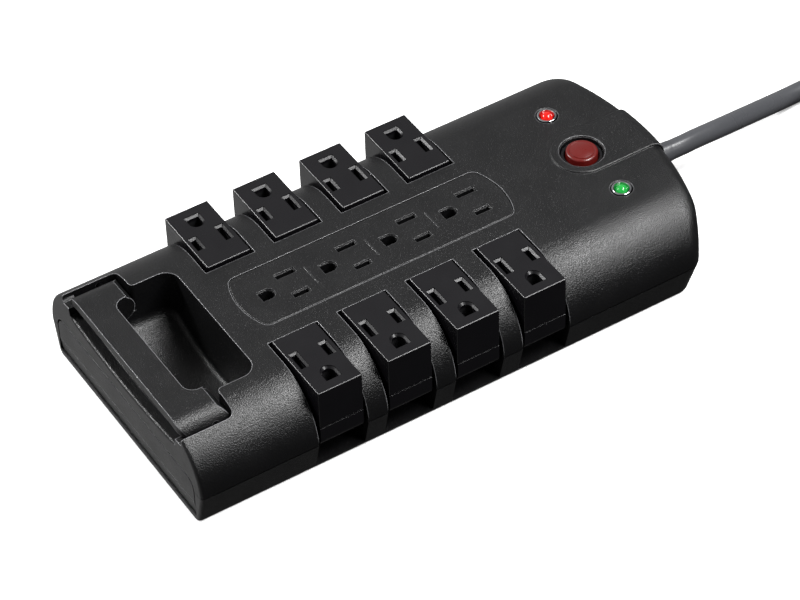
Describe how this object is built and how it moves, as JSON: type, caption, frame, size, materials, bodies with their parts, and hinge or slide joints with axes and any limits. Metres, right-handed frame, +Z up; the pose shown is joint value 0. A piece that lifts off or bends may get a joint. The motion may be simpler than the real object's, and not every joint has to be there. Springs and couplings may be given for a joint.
{
  "type": "surge protector power strip",
  "caption": "Flat surge protector with pivoting outlet blocks along both long sides, fixed outlets in the middle, a lift-up grip bar at one end and a corded plug at the other.",
  "frame": {"origin": "on the standing surface under the middle of the housing", "axes": "+X towards the cord end, +Z up, -Y the long side that faces the viewer"},
  "size_m": [0.4546, 0.1752, 0.043],
  "materials": {
    "housing": "fine spark-textured moulded ABS, black",
    "pod": "smooth moulded ABS, black",
    "insulator": "moulded insulating resin",
    "brass": "stamped sheet",
    "steel": "zinc plated",
    "bright_trim": "bright plated",
    "button_red": "translucent moulded red, illuminated",
    "lens_red": "translucent",
    "lens_green": "translucent",
    "breaker": "moulded phenolic",
    "board": "glass-epoxy laminate with solder mask",
    "varistor": "dipped epoxy",
    "copper_winding": "enamelled copper wire",
    "cord": "satin PVC jacket"
  },
  "bodies": {
    "housing": {"upper_housing": "housing", "lower_housing": "housing", "end_panel": "housing", "outlet_panel": "housing", "fixed_contact_block": "insulator", "grip_pin_front": "steel", "grip_pin_back": "steel", "bus_bar_hot": "brass", "bus_bar_ground": "brass", "bus_bar_neutral": "brass", "button_guide": "pod", "circuit_breaker": "breaker", "indicator_ring_front": "bright_trim", "indicator_lens_front": "lens_green", "indicator_ring_back": "bright_trim", "indicator_lens_back": "lens_red", "circuit_board": "board", "varistor_1": "varistor", "varistor_2": "varistor", "varistor_3": "varistor", "line_choke": "copper_winding", "thermal_fuse": "steel", "base_screw_1": "steel", "base_screw_2": "steel", "base_screw_3": "steel", "base_screw_4": "steel", "strain_relief": "cord", "cord": "cord", "cord_coil": "cord", "cord_tail": "cord", "plug_body": "cord", "plug_blade_hot": "brass", "plug_blade_neutral": "brass", "plug_ground_pin": "brass"},
    "grip": {"grip_bar": "housing"},
    "button": {"power_button": "button_red"},
    "pod_front_1": {"pod_cap_front_1": "pod", "pod_base_front_1": "pod", "pod_contacts_front_1": "insulator"},
    "pod_front_2": {"pod_cap_front_2": "pod", "pod_base_front_2": "pod", "pod_contacts_front_2": "insulator"},
    "pod_front_3": {"pod_cap_front_3": "pod", "pod_base_front_3": "pod", "pod_contacts_front_3": "insulator"},
    "pod_front_4": {"pod_cap_front_4": "pod", "pod_base_front_4": "pod", "pod_contacts_front_4": "insulator"},
    "pod_back_1": {"pod_cap_back_1": "pod", "pod_base_back_1": "pod", "pod_contacts_back_1": "insulator"},
    "pod_back_2": {"pod_cap_back_2": "pod", "pod_base_back_2": "pod", "pod_contacts_back_2": "insulator"},
    "pod_back_3": {"pod_cap_back_3": "pod", "pod_base_back_3": "pod", "pod_contacts_back_3": "insulator"},
    "pod_back_4": {"pod_cap_back_4": "pod", "pod_base_back_4": "pod", "pod_contacts_back_4": "insulator"}
  },
  "joints": [
    {"name": "grip_hinge", "type": "hinge", "parent": "housing", "child": "grip", "pos_m": [-0.1082, 0, 0.0346], "axis": [0, 1, 0], "range_deg": [0, 90]},
    {"name": "button_press", "type": "slide", "parent": "housing", "child": "button", "axis": [0, 0, -1], "range_m": [0, 0.0025], "stiffness_N_per_m": 700, "springref_m": -0.001},
    {"name": "pod_front_1_pivot", "type": "hinge", "parent": "housing", "child": "pod_front_1", "pos_m": [-0.06119, -0.0407, 0.0232], "axis": [1, 0, 0], "range_deg": [0, 90]},
    {"name": "pod_front_2_pivot", "type": "hinge", "parent": "housing", "child": "pod_front_2", "pos_m": [-0.02957, -0.0407, 0.0232], "axis": [1, 0, 0], "range_deg": [0, 90]},
    {"name": "pod_front_3_pivot", "type": "hinge", "parent": "housing", "child": "pod_front_3", "pos_m": [0.00205, -0.0407, 0.0232], "axis": [1, 0, 0], "range_deg": [0, 90]},
    {"name": "pod_front_4_pivot", "type": "hinge", "parent": "housing", "child": "pod_front_4", "pos_m": [0.03367, -0.0407, 0.0232], "axis": [1, 0, 0], "range_deg": [0, 90]},
    {"name": "pod_back_1_pivot", "type": "hinge", "parent": "housing", "child": "pod_back_1", "pos_m": [-0.06119, 0.0407, 0.0232], "axis": [-1, 0, 0], "range_deg": [0, 90]},
    {"name": "pod_back_2_pivot", "type": "hinge", "parent": "housing", "child": "pod_back_2", "pos_m": [-0.02957, 0.0407, 0.0232], "axis": [-1, 0, 0], "range_deg": [0, 90]},
    {"name": "pod_back_3_pivot", "type": "hinge", "parent": "housing", "child": "pod_back_3", "pos_m": [0.00205, 0.0407, 0.0232], "axis": [-1, 0, 0], "range_deg": [0, 90]},
    {"name": "pod_back_4_pivot", "type": "hinge", "parent": "housing", "child": "pod_back_4", "pos_m": [0.03367, 0.0407, 0.0232], "axis": [-1, 0, 0], "range_deg": [0, 90]}
  ]
}
